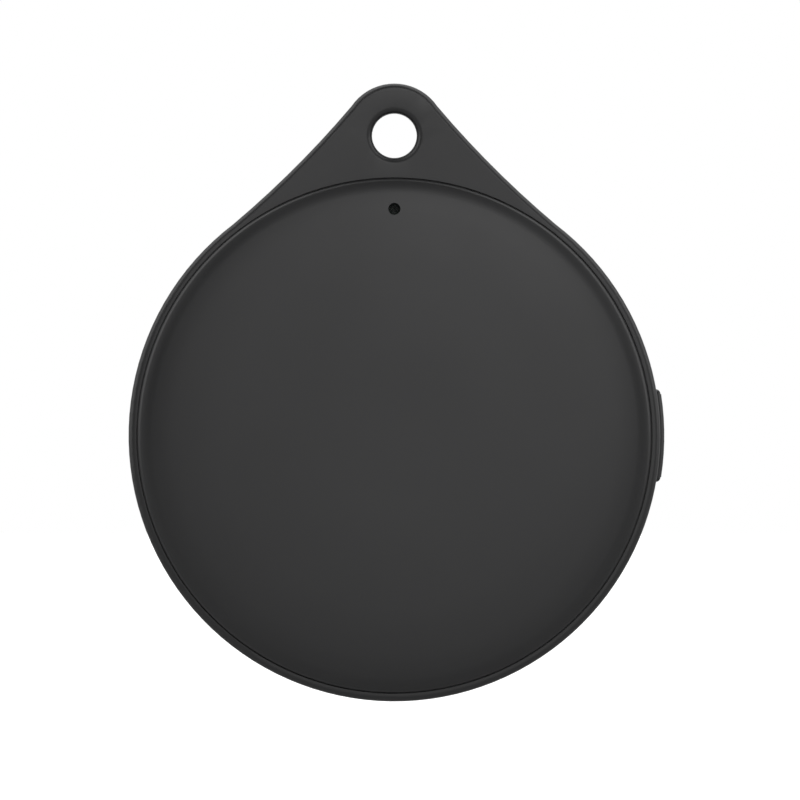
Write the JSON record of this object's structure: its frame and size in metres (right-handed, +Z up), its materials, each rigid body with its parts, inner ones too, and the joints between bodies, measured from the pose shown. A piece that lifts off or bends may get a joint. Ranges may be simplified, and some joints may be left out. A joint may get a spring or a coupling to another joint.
{
  "type": "bluetooth tracker tag",
  "caption": "Round sealed tracker tag with a key tab, a domed front, a side push button, a twist-off battery door and a coin cell inside.",
  "frame": {"origin": "centre of the key hole, halfway through the tab", "axes": "+Z up towards the tab's tip as the tag hangs, -Y out of the domed front, +Y out of the back with the battery door, +X towards the side button"},
  "size_m": [0.0383, 0.0075, 0.0441],
  "materials": {
    "frame_plastic": "satin black",
    "panel_plastic": "satin black",
    "rear_plastic": "fine matt texture",
    "button_plastic": "satin black",
    "black_silicone": "matt",
    "glue_film": "matt film",
    "mesh_cloth": "fine woven mesh",
    "seal_rubber": "smooth",
    "board_laminate": "solder mask",
    "gold_plate": "gold plated",
    "chip_epoxy": "moulded epoxy",
    "crystal_can": "bright can",
    "antenna_ceramic": "glazed ceramic",
    "capacitor_ceramic": "fired ceramic",
    "resistor_glaze": "glazed",
    "inductor_ferrite": "ferrite",
    "buzzer_brass": "rolled sheet",
    "piezo_ceramic": "fired ceramic",
    "silver_film": "silvered",
    "switch_plastic": "moulded",
    "spring_steel": "stamped sheet",
    "plunger_plastic": "natural nylon",
    "cradle_plastic": "moulded",
    "cell_steel": "rolled and nickel plated",
    "cell_nylon": "moulded nylon",
    "cell_filling": "pressed pellet and foil"
  },
  "bodies": {
    "case": {"front_frame": "frame_plastic", "front_panel": "panel_plastic", "panel_adhesive": "glue_film", "sound_hole_mesh": "mesh_cloth", "rear_case": "rear_plastic", "case_seal": "glue_film", "button_gasket": "black_silicone", "main_board": "board_laminate", "board_pads": "gold_plate", "radio_chip": "chip_epoxy", "driver_chip": "chip_epoxy", "motion_sensor": "chip_epoxy", "crystals": "crystal_can", "chip_antenna": "antenna_ceramic", "capacitors": "capacitor_ceramic", "resistors": "resistor_glaze", "inductors": "inductor_ferrite", "buzzer_adhesive": "glue_film", "buzzer_plate": "buzzer_brass", "buzzer_ceramic": "piezo_ceramic", "buzzer_electrode": "silver_film", "buzzer_springs": "gold_plate", "switch_body": "switch_plastic", "switch_cover": "spring_steel", "switch_dome": "spring_steel", "switch_terminals": "crystal_can", "battery_cradle": "cradle_plastic", "positive_contact": "gold_plate", "negative_contact": "gold_plate", "cell_can": "cell_steel", "cell_gasket": "cell_nylon", "cell_cap": "cell_steel", "cell_core": "cell_filling"},
    "seal": {"door_seal": "seal_rubber"},
    "door": {"battery_door": "rear_plastic"},
    "button": {"side_button": "button_plastic"},
    "plunger": {"switch_plunger": "plunger_plastic"}
  },
  "joints": [
    {"name": "door_turn", "type": "hinge", "parent": "seal", "child": "door", "pos_m": [0, 0, -0.02144], "axis": [0, 1, 0], "range_deg": [0, 180]},
    {"name": "door_lift", "type": "slide", "parent": "case", "child": "seal", "axis": [0, 1, 0], "range_m": [0, 0.006]},
    {"name": "button_press", "type": "slide", "parent": "case", "child": "button", "axis": [-1, 0, 0], "range_m": [0, 0.00025], "stiffness_N_per_m": 1200, "springref_m": -0.0004},
    {"name": "plunger_press", "type": "slide", "parent": "case", "child": "plunger", "axis": [-1, 0, 0], "range_m": [0, 0.00025], "deforming": ["switch_dome"]}
  ],
  "couplings": [
    {"joint": "door_turn", "follows": "door_lift", "rad_per_m": 523.6},
    {"joint": "plunger_press", "follows": "button_press", "ratio": 1}
  ]
}
